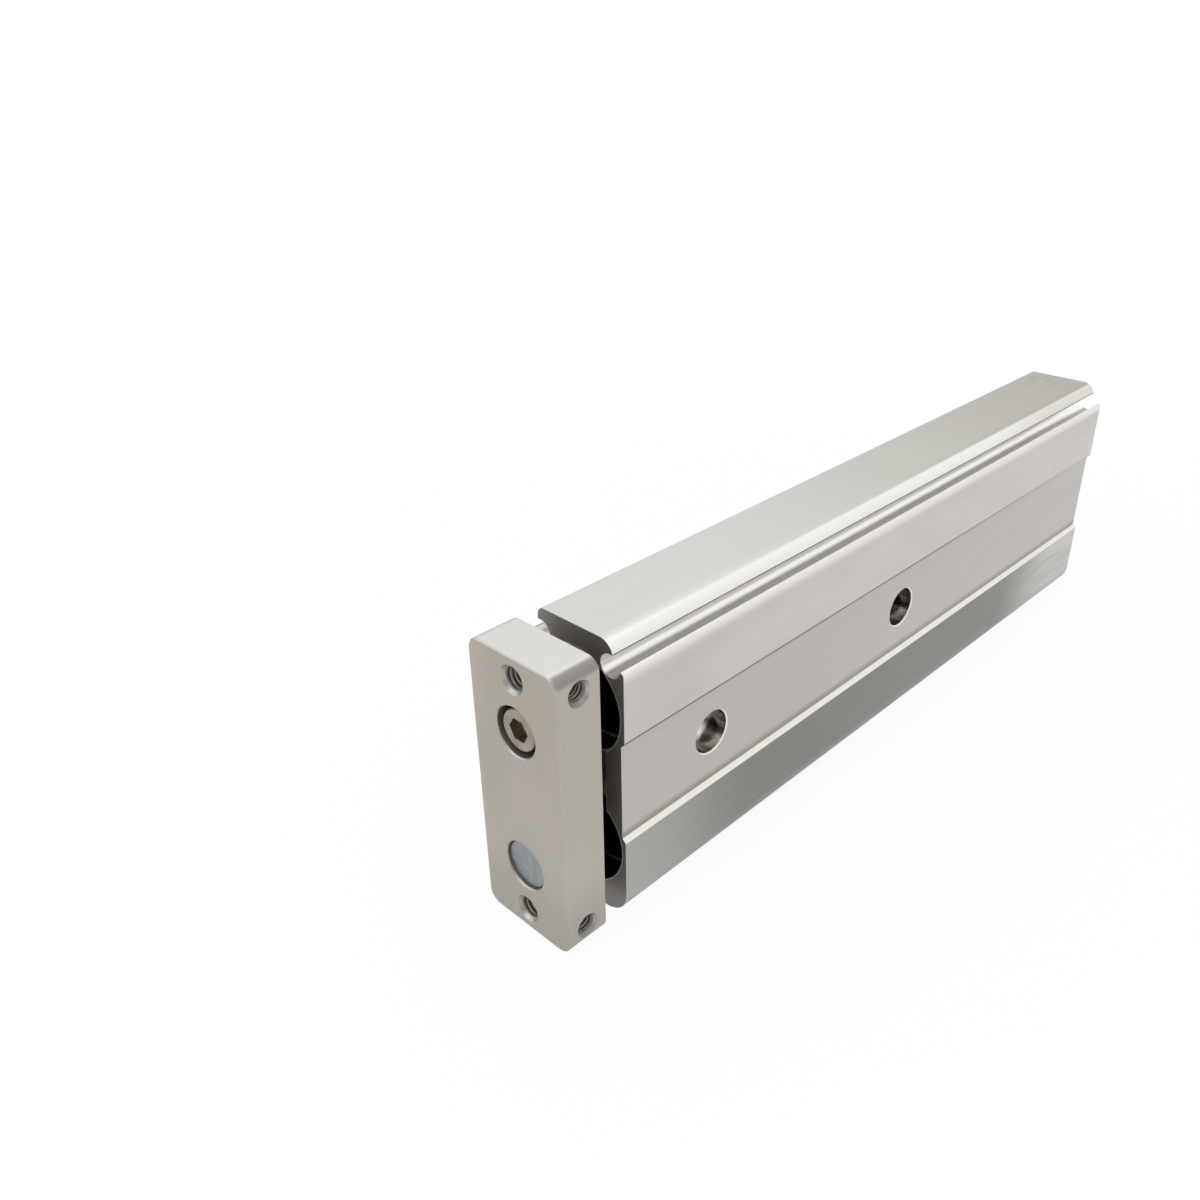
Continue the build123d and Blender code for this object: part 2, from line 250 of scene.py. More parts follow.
    def outside(self, mask: Socket) -> Socket:
        """Is 1 where a mask is 0."""
        return self.sum("SUBTRACT", 1.0, mask)

    def less(self, first: Socket | float, second: Socket | float) -> Socket:
        """Takes the second value from the first."""
        return self.sum("SUBTRACT", first, second)

    def facing(self, axis: int) -> Socket:
        """Tells how far the surface faces along an axis of the part, either way.

        Args:
            axis: 0, 1 or 2 for X, Y or Z.

        Returns:
            From 0, edge on, to 1, square on.
        """
        parts = self.tree.nodes.new("ShaderNodeSeparateXYZ")
        self.tree.links.new(self.coordinates.outputs["Normal"], parts.inputs[0])
        return self.sum("ABSOLUTE", parts.outputs[axis])

    def colour(self, value: Rgb) -> Socket:
        """Adds a plain colour for later mixing.

        Args:
            value: Red, green and blue from 0 to 255.

        Returns:
            The colour.
        """
        node = self.tree.nodes.new("ShaderNodeRGB")
        node.outputs[0].default_value = linear(value)
        return node.outputs[0]

    def mix(self, share: Socket, first: Socket, second: Socket) -> Socket:
        """Mixes two colours.

        Args:
            share: How much of the second one shows.
            first: The colour below.
            second: The colour on top.

        Returns:
            The mixed colour.
        """
        node = self.tree.nodes.new("ShaderNodeMix")
        node.data_type = "RGBA"
        self.feed(node.inputs[0], share)
        self.tree.links.new(first, node.inputs[6])
        self.tree.links.new(second, node.inputs[7])
        return node.outputs[2]

    def rounded(self, radius: float) -> Socket:
        """Gives the surface direction with its sharp edges rounded.

        Args:
            radius: The rounding in millimetres.

        Returns:
            The rounded direction.
        """
        node = self.tree.nodes.new("ShaderNodeBevel")
        node.samples = BEVEL_SAMPLES
        node.inputs["Radius"].default_value = radius * MILLIMETRE
        return node.outputs["Normal"]

    def plain(self) -> Socket:
        """Gives the surface direction as the mesh has it."""
        return self.tree.nodes.new("ShaderNodeNewGeometry").outputs["Normal"]

    def towards(self, along: Socket | float, across: Socket | float, up: Socket | float) -> Socket:
        """Gives the surface direction of a round wall, which looks at its own axis.

        Args:
            along: How far the axis lies along X, in millimetres.
            across: How far it lies along Y.
            up: How far it lies along Z.

        Returns:
            The surface direction.
        """
        joined = self.tree.nodes.new("ShaderNodeCombineXYZ")
        for target, offset in zip(joined.inputs, (along, across, up)):
            self.feed(target, offset)
        turned = self.tree.nodes.new("ShaderNodeVectorTransform")
        turned.vector_type = "NORMAL"
        turned.convert_from = "OBJECT"
        turned.convert_to = "WORLD"
        self.tree.links.new(joined.outputs[0], turned.inputs[0])
        return turned.outputs[0]

    def blend(self, share: Socket, first: Socket, second: Socket) -> Socket:
        """Mixes two surface directions.

        Args:
            share: How much of the second one holds.
            first: The first direction.
            second: The second direction.

        Returns:
            The mixed direction.
        """
        node = self.tree.nodes.new("ShaderNodeMix")
        node.data_type = "VECTOR"
        self.feed(node.inputs[0], share)
        self.tree.links.new(first, node.inputs[4])
        self.tree.links.new(second, node.inputs[5])
        return node.outputs[1]

    def edges(self, rounded: Socket, reach: float) -> Socket:
        """Finds the edges, where the rounded direction leaves the flat one.

        Args:
            rounded: The rounded direction.
            reach: How much the directions differ where the mask is full.

        Returns:
            1 on an edge and 0 on a flat.
        """
        node = self.tree.nodes.new("ShaderNodeVectorMath")
        node.operation = "DOT_PRODUCT"
        self.tree.links.new(rounded, node.inputs[0])
        self.tree.links.new(self.plain(), node.inputs[1])
        return self.span(self.sum("SUBTRACT", 1.0, node.outputs["Value"]), 0.0, reach)

    def relief(self, height: Socket, depth: float, normal: Socket) -> Socket:
        """Raises fine relief.

        Args:
            height: The relief, from 0 to 1.
            depth: Its depth in millimetres.
            normal: The surface direction that it starts from.

        Returns:
            The surface direction with the relief.
        """
        node = self.tree.nodes.new("ShaderNodeBump")
        node.inputs["Distance"].default_value = depth * MILLIMETRE
        node.inputs["Strength"].default_value = 1.0
        self.tree.links.new(height, node.inputs["Height"])
        self.tree.links.new(normal, node.inputs["Normal"])
        return node.outputs["Normal"]


@dataclass(frozen=True)
class Finish:
    """A surface that wanders between two tones, with fine relief and edges lightened in patches, partly as
    wear and partly as painted highlight.
    """

    name: str
    light: Rgb
    dark: Rgb
    metallic: float
    roughness: float
    wander: float = 0.06
    turn: Turn = Turn.CAST
    relief: float = 0.004
    rounding: float = 0.2
    edge_wear_and_highlight: Rgb = (225, 223, 218)
    wear_and_highlight: float = 0.35
    clouds: Pattern = Pattern((9.0, 9.0, 9.0))

    def base(self, bench: Bench) -> Socket:
        """Lets the colour wander between the two tones."""
        return bench.mix(bench.pattern(self.clouds), bench.colour(self.light), bench.colour(self.dark))

    def tint(self, bench: Bench) -> Socket:
        """Paints the finish, in its two tones unless a finish adds others."""
        return self.base(bench)

    def wandering(self, bench: Bench, cell: Triple) -> Socket:
        """Lets the roughness wander in cells of this size."""
        return bench.pattern(Pattern(cell, detail=4.0, seed=3.0, low=0.25, high=0.75,
                                     least=self.roughness - self.wander, most=self.roughness + self.wander))

    def polish(self, bench: Bench) -> Socket:
        """Lets the roughness wander along the lines of the finish."""
        return self.wandering(bench, self.turn.value)

    def surface(self, bench: Bench) -> Socket:
        """Gives the surface direction, rounded at sharp edges."""
        return bench.rounded(self.rounding)

    def grain(self, bench: Bench) -> Socket:
        """Gives the fine lines that the relief follows."""
        return bench.noise(self.turn.value, detail=5.0, seed=11.0)

    def metal(self, bench: Bench) -> Socket | float:
        """Gives the share of bare metal, the same all over unless a finish varies it."""
        return self.metallic

    def make(self) -> bpy.types.Material:
        """Builds the material.

        Returns:
            The finished material.
        """
        bench = Bench(self.name)
        direction = self.surface(bench)
        patches = bench.sum("MULTIPLY", bench.noise(WEAR_AND_HIGHLIGHT_CELL, detail=3.0, seed=0.0), 2 * self.wear_and_highlight)
        edge = bench.sum("MULTIPLY", bench.edges(direction, EDGE_WEAR_AND_HIGHLIGHT_REACH), patches, clamp=True)
        # Lightens the edges in patches, partly as wear and partly as a painted highlight on the edges.
        colour = bench.mix(edge, self.tint(bench), bench.colour(self.edge_wear_and_highlight))
        bench.feed(bench.shader.inputs["Base Color"], colour)
        bench.feed(bench.shader.inputs["Roughness"], self.polish(bench))
        bench.feed(bench.shader.inputs["Normal"], bench.relief(self.grain(bench), self.relief, direction))
        bench.feed(bench.shader.inputs["Metallic"], self.metal(bench))
        return bench.material


@dataclass(frozen=True)
class HousingFinish(Finish):
    """Clear anodised extrusion, whose bands differ in tone. Its rounded edges, step, slot walls, the rims and
    floors of its holes and the rims of its bores carry painted highlights; painted shade lies under the slot
    lips, in the slot floors and bores, above the step, on the lower band and, in part, on the ends.

    Sizes and places are in millimetres of the part. Where a change runs along the housing, its pair
    tells where it starts and ends, as distances from the rear end. The small numbers beside a size in
    the methods are the soft borders of a mask.
    """

    top: Rgb = (198, 200, 195)
    top_rear: Rgb = (168, 165, 156)
    # Painted highlight on the rounded crown, weaker towards the rear.
    crown_highlight: Rgb = (236, 235, 231)
    crown_rear_highlight: Rgb = (219, 217, 210)
    # Painted shadow: a thin dark line under the lip of each slot.
    lip_shadow: Rgb = (112, 105, 99)
    # Painted highlight: the slot walls near white, for the light they catch.
    slot: Rgb = (251, 250, 247)
    # Painted shade at the bottom of each slot.
    slot_floor_shade: Rgb = (178, 176, 172)
    # Painted highlight on the rounded shoulder.
    shoulder_highlight: Rgb = (229, 226, 222)
    band: Rgb = (188, 185, 181)
    # Painted shade in the crease just above the step.
    band_foot_shade: Rgb = (154, 148, 142)
    # Painted highlight on the step's ledge.
    step: Rgb = (238, 234, 227)
    # Painted shade: the lower band darker, for the darker ground it reflects.
    skirt_shade: Rgb = (127, 128, 124)
    # Painted highlights: the lower band lighter near the front end and in patches near the rear.
    skirt_front_highlight: Rgb = (167, 166, 162)
    skirt_rear_highlight: Rgb = (197, 196, 193)
    # Painted shade: the lower band darker towards its bottom.
    skirt_low_shade: Rgb = (118, 119, 115)
    hole: Rgb = (196, 194, 189)
    hole_ring: Rgb = (226, 225, 221)
    # Painted highlights on the counterbore floor and on the rim round each mounting hole.
    hole_floor_highlight: Rgb = (246, 244, 240)
    hole_rim_highlight: Rgb = (228, 225, 220)
    # The sawn end face with its cut marks, darkened partly as painted shade of the gap between plate and
    # housing.
    end: Rgb = (120, 117, 111)
    # Painted highlight on the thin rim round each bore's mouth.
    rim: Rgb = (176, 173, 168)
    # Painted shade: the inside of the bores near black.
    bore: Rgb = (34, 36, 41)
    seam: Rgb = (118, 108, 99)
    grime: Rgb = (140, 134, 126)
    front: float = -103.75
    rear: float = 121.25
    band_low: float = 22.3
    band_high: float = 49.1
    shoulder: float = 66.8
    lip_edge: float = 69.8
    lip_reach: float = 11.0
    height: float = 73.0
    middle: float = SIZES.middle
    half_pitch: float = SIZES.half_pitch
    bore_reach: float = 13.12
    bore_wall: float = 13.25
    hole_places: Pair = (-73.75, 7.75)
    hole_reach: float = 5.5
    wall_reach: float = 5.6
    slot_half_pitch: float = 10.5
    slot_height: float = 67.1
    slot_reach: float = 2.86
    slot_gloss: float = 0.3
    slot_low: float = 64.65
    hole_gloss: float = 0.2
    step_reach: float = 1.0
    foot_reach: float = 2.6
    crown_soft: float = 0.1
    glow_reach: float = 48.0
    hole_rim_width: float = 0.32
    bore_rim_width: float = 0.25
    rear_glow: Pair = (56.0, 16.0)
    seam_fade: Pair = (110.0, 10.0)
    seam_rest: float = 0.35
    crown_fade: Pair = (70.0, 25.0)
    top_fade: Pair = (200.0, 0.0)
    sawn_part: Pair = (24.0, 5.0)
    sawn_share: float = 0.45
    clouds: Pattern = Pattern((30.0, 12.0, 12.0))
    glow_clouds: Pattern = Pattern((26.0, 9.0, 3.0), 3.0, 15.0, least=0.72)
    turned: Pattern = Pattern((60.0, 2.4, 60.0), 1.0, 2.0, 0.38, 0.62)
    cuts: Pattern = Pattern((4.0, 14.0, 0.4), 3.0, 9.0, 0.35, 0.7, most=0.3)
    streaks: Pattern = Pattern((7.0, 1.1, 4.0), 4.0, 5.0, 0.48, 0.62)
    lines: Pattern = Pattern((160.0, 0.4, 0.4), 2.0, 8.0, 0.4, 0.75, most=0.045)
    scratches: Pattern = Pattern((9.0, 1.0, 0.7), 6.0, 21.0, 0.72, 0.76, most=0.22)
    specks: Pattern = Pattern((1.3, 1.3, 1.3), 1.0, 33.0, 0.83, 0.85, most=0.6)

    def nearing(self, bench: Bench, part: Pair, low: float = 0.0, high: float = 1.0) -> Socket:
        """Goes from a low to a high share between two distances from the housing's rear end."""
        start, full = part
        return bench.span(bench.x, self.rear - start, self.rear - full, low, high)

    def bands(self, bench: Bench) -> tuple[tuple[Socket, Rgb], ...]:
        """Lists the bands of the extruded section from the foot to the crown, with painted highlights and
        painted shade among them.

        Args:
            bench: The material's nodes.

        Returns:
            Each band's mask with its tone, painted in this order.
        """
        above = self.height + 1
        outside = bench.span(bench.away(bench.y, 0.0), self.lip_reach - 0.1, self.lip_reach)
        lip_shadow = bench.both(outside, bench.band(bench.z, self.lip_edge - 0.1, self.lip_edge + 0.3, 0.08))
        skirt_shade = bench.band(bench.z, -1.0, self.band_low - 0.2, 0.15)
        # Where the painted highlights lie on the lower band.
        front_part = bench.span(bench.x, self.front, self.front + self.glow_reach, 1.0, 0.0)
        rear_glow = bench.both(self.nearing(bench, self.rear_glow), bench.pattern(self.glow_clouds))
        slot = self.inside_slot(bench)
        slot_floor_shade = bench.both(slot, bench.span(bench.z, self.slot_low - 0.2, self.slot_low + 0.2, 1.0, 0.0))
        seam = bench.both(bench.band(bench.z, self.band_high - 1.0, self.band_high + 0.42, 0.1),
                          self.nearing(bench, self.seam_fade, 1.0, self.seam_rest))
        crown_highlight = bench.band(bench.z, self.lip_edge - 0.1, above, self.crown_soft)
        return (
            (bench.band(bench.z, self.band_low + self.step_reach, self.band_high - 0.4, 0.2), self.band),
            # Painted shade just above the step.
            (bench.band(bench.z, self.band_low, self.band_low + self.foot_reach, 1.1), self.band_foot_shade),
            (seam, self.seam),
            # Painted highlight on the step.
            (bench.band(bench.z, self.band_low - 0.1, self.band_low + self.step_reach, 0.1), self.step),
            # Painted shade on the lower band.
            (skirt_shade, self.skirt_shade),
            # Painted highlights on the lower band.
            (bench.both(front_part, skirt_shade), self.skirt_front_highlight),
            (bench.both(rear_glow, skirt_shade), self.skirt_rear_highlight),
            # Painted shade at the foot of the lower band.
            (bench.band(bench.z, -1.0, 4.0, 3.5), self.skirt_low_shade),
            # Painted highlight on the shoulder's rounding.
            (bench.band(bench.z, self.shoulder - 1.9, above, 1.1), self.shoulder_highlight),
            # Painted highlight on the slot walls.
            (slot, self.slot),
            # Painted shade at the slot's bottom.
            (slot_floor_shade, self.slot_floor_shade),
            # Painted highlight on the crown's rounding, fading towards the rear.
            (crown_highlight, self.crown_highlight),
            (bench.both(crown_highlight, self.nearing(bench, self.crown_fade)), self.crown_rear_highlight),
            (bench.band(bench.z, self.height - 0.35, above, 0.25), self.top),
            # Painted shadow under the slot lip.
            (lip_shadow, self.lip_shadow),
        )

    def inside_slot(self, bench: Bench) -> Socket:
        """Is 1 inside the two switch slots."""
        across = bench.away(bench.away(bench.y, 0.0), self.slot_half_pitch)
        return bench.within(bench.reach(across, bench.away(bench.z, self.slot_height)), self.slot_reach)

    def hole_distance(self, bench: Bench) -> Socket:
        """Measures the distance from the nearer mounting hole's axis, in millimetres."""
        near, far = (bench.away(bench.x, place) for place in self.hole_places)
        return bench.reach(bench.sum("MINIMUM", near, far), bench.away(bench.z, self.middle))

    def drilled(self, bench: Bench) -> Socket:
        """Is 1 inside the two mounting holes."""
        return bench.within(self.hole_distance(bench), self.wall_reach)

    def glossy(self, bench: Bench) -> Socket:
        """Is 1 in the slots and the holes, which are glossier than the drawn faces."""
        return bench.either(self.inside_slot(bench), self.drilled(bench))

    def bore_distance(self, bench: Bench) -> Socket:
        """Measures the distance from the nearer bore's axis, in millimetres."""
        return bench.reach(bench.away(bench.away(bench.z, self.middle), self.half_pitch), bench.y)

    def bored(self, bench: Bench) -> Socket:
        """Is 1 inside the two bores and on their walls."""
        return bench.within(self.bore_distance(bench), self.bore_wall)

    def slot_direction(self, bench: Bench) -> Socket:
        """Turns the walls of the switch slots to each slot's axis."""
        side = bench.sum("MULTIPLY", bench.sum("SIGN", bench.y), self.slot_half_pitch)
        return bench.towards(0.0, bench.less(side, bench.y), bench.less(self.slot_height, bench.z))

    def hole_direction(self, bench: Bench) -> Socket:
        """Turns the round walls of the mounting holes to each hole's axis.

        Args:
            bench: The material's nodes.

        Returns:
            The surface direction, which the flat floor of a counterbore keeps.
        """
        near, far = self.hole_places
        rear = bench.sum("GREATER_THAN", bench.x, (near + far) / 2)
        place = bench.sum("ADD", bench.sum("MULTIPLY", rear, far - near), near)
        wall = bench.towards(bench.less(place, bench.x), 0.0, bench.less(self.middle, bench.z))
        flat = bench.span(bench.facing(1), *FLAT_DIRECTION)
        return bench.blend(flat, wall, bench.plain())

    def bore_direction(self, bench: Bench, rounded: Socket) -> Socket:
        """Turns the walls of the bores to each bore's axis.

        Args:
            bench: The material's nodes.
            rounded: The direction that the faces square to the bores keep.

        Returns:
            The surface direction.
        """
        upper = bench.sum("SIGN", bench.less(bench.z, self.middle))
        height = bench.sum("ADD", bench.sum("MULTIPLY", upper, self.half_pitch), self.middle)
        wall = bench.towards(0.0, bench.sum("MULTIPLY", bench.y, -1.0), bench.less(height, bench.z))
        square = bench.span(bench.facing(0), *FLAT_DIRECTION)
        return bench.blend(square, wall, rounded)

    def surface(self, bench: Bench) -> Socket:
        """Rounds the sharp edges, and makes the walls of holes, slots and bores truly round.

        Args:
            bench: The material's nodes.

        Returns:
            The surface direction.
        """
        rounded = bench.rounded(self.rounding)
        direction = bench.blend(self.drilled(bench), rounded, self.hole_direction(bench))
        direction = bench.blend(self.inside_slot(bench), direction, self.slot_direction(bench))
        return bench.blend(self.bored(bench), direction, self.bore_direction(bench, rounded))

    def grain(self, bench: Bench) -> Socket:
        """Leaves the drawing lines off the glossy places and the bores."""
        smooth = bench.either(self.glossy(bench), self.bored(bench))
        return bench.both(super().grain(bench), bench.outside(smooth))

    def polish(self, bench: Bench) -> Socket:
        """Makes the slots and the holes glossier than the drawn faces.

        Args:
            bench: The material's nodes.

        Returns:
            The roughness at each place.
        """
        drawn = bench.both(super().polish(bench), bench.outside(self.glossy(bench)))
        slots = bench.sum("MULTIPLY", self.inside_slot(bench), self.slot_gloss)
        holes = bench.sum("MULTIPLY", self.drilled(bench), self.hole_gloss)
        return bench.sum("ADD", drawn, bench.sum("ADD", slots, holes))

    def metal(self, bench: Bench) -> Socket:
        """Gives bare metal in the glossy places only."""
        return bench.sum("MAXIMUM", self.metallic, self.glossy(bench))

    def tint(self, bench: Bench) -> Socket:
        """Paints the bands and the marks of use, then the holes, the ends and the bores.

        Args:
            bench: The material's nodes.

        Returns:
            The colour at each place.
        """
        colour = self.base(bench)
        for mask, tone in self.bands(bench):
            colour = bench.mix(mask, colour, bench.colour(tone))
        return self.paint_ends(bench, self.paint_holes(bench, self.marks(bench, colour)))

    def paint_holes(self, bench: Bench, colour: Socket) -> Socket:
        """Paints the mounting holes: a painted highlight on the rim and on the floor, and the turned wall.

        Args:
            bench: The material's nodes.
            colour: The colour around them.

        Returns:
            The colour with the holes.
        """
        away = self.hole_distance(bench)
        # Painted highlight on the rim round the hole's mouth.
        colour = bench.mix(bench.within(away, self.hole_reach + self.hole_rim_width), colour,
                           bench.colour(self.hole_rim_highlight))
        wall = bench.mix(bench.pattern(self.turned), bench.colour(self.hole), bench.colour(self.hole_ring))
        level = bench.span(bench.facing(1), *FLAT_TONE)
        # Painted highlight on the counterbore floor.
        wall = bench.mix(level, wall, bench.colour(self.hole_floor_highlight))
        return bench.mix(bench.within(away, self.hole_reach), colour, wall)

    def paint_ends(self, bench: Bench, colour: Socket) -> Socket:
        """Paints the sawn ends, darkened partly as painted shade, a painted highlight on the rims of the
        bores and painted shade inside the bores.

        Args:
            bench: The material's nodes.
            colour: The colour around them.

        Returns:
            The colour with the ends and the bores.
        """
        reach = self.bore_distance(bench)
        # The end face, its cut finish darkened partly as painted shade.
        face = bench.mix(bench.pattern(self.cuts), bench.colour(self.end), bench.colour(self.grime))
        # Painted highlight on the bore rims.
        rim = bench.band(reach, self.bore_reach, self.bore_reach + self.bore_rim_width, 0.03)
        face = bench.mix(rim, face, bench.colour(self.rim))
        square = bench.span(bench.facing(0), *FLAT_TONE)
        colour = bench.mix(square, colour, face)
        # Painted shade on the bore walls and deep inside the bores.
        wall = bench.both(self.bored(bench), bench.outside(square))
        deep = bench.either(wall, bench.within(reach, self.bore_reach - 0.07))
        return bench.mix(deep, colour, bench.colour(self.bore))

    def marks(self, bench: Bench, colour: Socket) -> Socket:
        """Adds the rear fading, the saw's streaks, fine drawing lines, a few scratches and specks.

        Args:
            bench: The material's nodes.
            colour: The colour before the marks.

        Returns:
            The marked colour.
        """
        top = bench.span(bench.z, self.height - 0.6, self.height - 0.2)
        fading = bench.both(self.nearing(bench, self.top_fade), top)
        colour = bench.mix(fading, colour, bench.colour(self.top_rear))
        near_rear = bench.both(self.nearing(bench, self.sawn_part), top)
        sawn = bench.sum("MULTIPLY", bench.both(bench.pattern(self.streaks), near_rear), self.sawn_share)
        colour = bench.mix(sawn, colour, bench.colour(self.grime))
        below = bench.span(bench.z, self.height - 1, self.height - 0.3, 1.0, 0.25)
        # The drawing lines take the grey of the lower band's painted shade.
        colour = bench.mix(bench.both(bench.pattern(self.lines), below), colour, bench.colour(self.skirt_shade))
        above = bench.span(bench.z, self.band_low + 2, self.band_low + 6)
        scratch = bench.both(bench.pattern(self.scratches), above)
        # The scratches take the tone of the crown's painted highlight.
        colour = bench.mix(scratch, colour, bench.colour(self.crown_highlight))
        return bench.mix(bench.pattern(self.specks), colour, bench.colour(self.seam))


@dataclass(frozen=True)
class PlateFinish(Finish):
    """Warm satin silver, faintly streaked up and down, with painted light on its narrow top and sides and
    painted shade at its foot, its top edges and in its holes.
    """

    # Painted light: the narrow top lighter than the front.
    top: Rgb = (203, 202, 198)
    # Painted light: the sides facing Y a lighter copy of the front's tone.
    side: Rgb = (181, 176, 168)
    streak: Rgb = (150, 144, 135)
    # Painted shade inside the plate's holes.
    well_shade: Rgb = (122, 120, 115)
    # Painted shade on the rounded top edges, holding down the lamp's highlight there.
    corner_shade: Rgb = (139, 137, 132)
    # Painted shade: the plate darker towards its foot.
    foot: Rgb = (146, 144, 134)
    foot_from: float = 4.0
    foot_to: float = 22.0
    foot_share: float = 0.45
    front: float = SIZES.plate_front
    thickness: float = SIZES.plate_thickness
    wells: tuple[Pair, ...] = (
        (SIZES.middle + SIZES.half_pitch, 6.05), (SIZES.middle - SIZES.half_pitch, 6.06))
    tap_heights: Pair = SIZES.tap_heights
    tool_tap: float = 2.75
    side_tap: float = 2.4
    clouds: Pattern = Pattern((14.0, 14.0, 30.0))
    streaks: Pattern = Pattern((2.2, 2.2, 50.0), 3.0, 4.0, 0.45, 0.75, most=0.07)

    def tint(self, bench: Bench) -> Socket:
        """Paints the satin and its streaks, with painted light on the narrow top and the sides and painted
        shade at the foot, the top edges and in the holes.

        Args:
            bench: The material's nodes.

        Returns:
            The colour at each place.
        """
        # Painted light on the sides facing Y.
        lit_sides = bench.span(bench.facing(1), 0.5, 0.95)
        colour = bench.mix(lit_sides, self.base(bench), bench.colour(self.side))
        # Painted shade towards the foot.
        low = bench.span(bench.z, self.foot_from, self.foot_to, self.foot_share, 0.0)
        colour = bench.mix(low, colour, bench.colour(self.foot))
        colour = bench.mix(bench.pattern(self.streaks), colour, bench.colour(self.streak))
        # Painted light on the narrow top.
        colour = bench.mix(bench.span(bench.facing(2), 0.3, 0.9), colour, bench.colour(self.top))
        # Painted shade on the rounded edges between top and sides.
        corner_shade = bench.both(bench.span(bench.facing(1), 0.15, 0.5), bench.span(bench.facing(2), 0.15, 0.5))
        colour = bench.mix(corner_shade, colour, bench.colour(self.corner_shade))
        # Painted shade in the holes.
        return bench.mix(self.inside(bench), colour, bench.colour(self.well_shade))

    def inside(self, bench: Bench) -> Socket:
        """Finds the inside of the plate's holes.

        Args:
            bench: The material's nodes.

        Returns:
            1 inside a hole and 0 on the faces.
        """
        depth = bench.span(bench.x, self.front + 0.28, self.front + 0.34)
        masks = []
        for height, radius in self.wells:
            reach = bench.reach(bench.y, bench.away(bench.z, height))
            masks.append(bench.both(bench.within(reach, radius), depth))
        along = bench.away(bench.x, self.front + self.thickness / 2)
        for height in self.tap_heights:
            up = bench.away(bench.z, height)
            for other, radius in ((bench.y, self.tool_tap), (along, self.side_tap)):
                masks.append(bench.within(bench.reach(other, up), radius))
        return reduce(bench.either, masks)


@dataclass(frozen=True)
class RodFinish(Finish):
    """Ground chrome, with a duller bluish face where the rod ends in the plate."""

    face: Rgb = (136, 143, 144)
    face_light: Rgb = (149, 156, 157)
    face_polish: float = 0.42
    plate_back: float = -109.6
    grind_cell: Triple = (0.15, 20.0, 20.0)
    clouds: Pattern = Pattern((20.0, 4.0, 4.0))
    face_clouds: Pattern = Pattern((5.0, 1.6, 5.0), 4.0, 12.0)

    def ends(self, bench: Bench, share: float = 1.0) -> Socket:
        """Is 1, or another share, on the faces square to the rod."""
        return bench.span(bench.facing(0), 0.7, 0.95, 0.0, share)

    def tint(self, bench: Bench) -> Socket:
        """Paints the chrome and its end face.

        Args:
            bench: The material's nodes.

        Returns:
            The colour at each place.
        """
        in_plate = bench.span(bench.x, self.plate_back - 2, self.plate_back, 1.0, 0.0)
        face = bench.mix(bench.pattern(self.face_clouds), bench.colour(self.face),
                         bench.colour(self.face_light))
        return bench.mix(bench.both(self.ends(bench), in_plate), self.base(bench), face)

    def polish(self, bench: Bench) -> Socket:
        """Keeps the barrel glossy and the end face dull."""
        grind = self.wandering(bench, self.grind_cell)
        return bench.sum("MAXIMUM", grind, self.ends(bench, self.face_polish))


@dataclass(frozen=True)
class ScrewFinish(Finish):
    """Nickel plating on the screw's head, with its socket painted dark brown as shade."""

    # Painted shade in the socket.
    socket: Rgb = (138, 130, 112)
    socket_reach: float = 2.9
    socket_floor: float = -117.8
    screw_height: float = SIZES.middle + SIZES.half_pitch
    clouds: Pattern = Pattern((3.0, 3.0, 3.0))

    def tint(self, bench: Bench) -> Socket:
        """Paints the nickel, and painted shade in the socket inside it.

        Args:
            bench: The material's nodes.

        Returns:
            The colour at each place.
        """
        # Painted shade on the socket's walls.
        inside = bench.within(bench.reach(bench.y, bench.away(bench.z, self.screw_height)), self.socket_reach)
        front = bench.span(bench.x, self.socket_floor, self.socket_floor + 0.6, 1.0, 0.0)
        return bench.mix(bench.both(inside, front), self.base(bench), bench.colour(self.socket))


